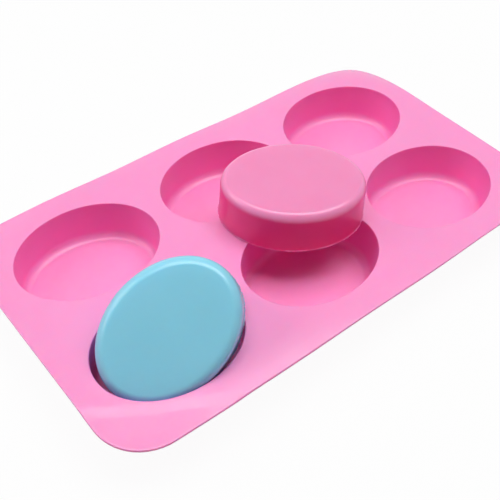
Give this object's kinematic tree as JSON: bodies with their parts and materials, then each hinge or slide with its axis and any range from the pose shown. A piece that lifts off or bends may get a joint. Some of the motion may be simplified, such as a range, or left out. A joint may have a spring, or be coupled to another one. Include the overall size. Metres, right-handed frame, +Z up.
{
  "type": "silicone soap mould",
  "caption": "Flexible silicone tray mould with a flat rounded deck, oval cavities in two rows, and cast soap bars lying in and on it.",
  "frame": {"origin": "middle of the mould's plan, in the plane of the cups' flat bottoms, on which it stands", "axes": "+X along the mould's long side, +Y from its front row of cavities to its back row, +Z up out of the cavities"},
  "size_m": [0.2912, 0.166, 0.0624],
  "materials": {
    "silicone": "satin",
    "soap_pink": "satin",
    "soap_blue": "satin"
  },
  "bodies": {
    "mould": {"deck": "silicone", "cup_front_left": "silicone", "cup_front_middle": "silicone", "cup_front_right": "silicone", "cup_back_left": "silicone", "cup_back_middle": "silicone", "cup_back_right": "silicone"},
    "pink_bar": {"soap_bar_pink": "soap_pink"},
    "blue_bar": {"soap_bar_blue": "soap_blue"}
  },
  "joints": [
    {"name": "pink_bar_lift", "type": "slide", "parent": "mould", "child": "pink_bar", "axis": [0, 0, 1], "range_m": [0, 0.06]},
    {"name": "blue_bar_lift", "type": "slide", "parent": "mould", "child": "blue_bar", "axis": [0, 0, 1], "range_m": [0, 0.06]}
  ]
}
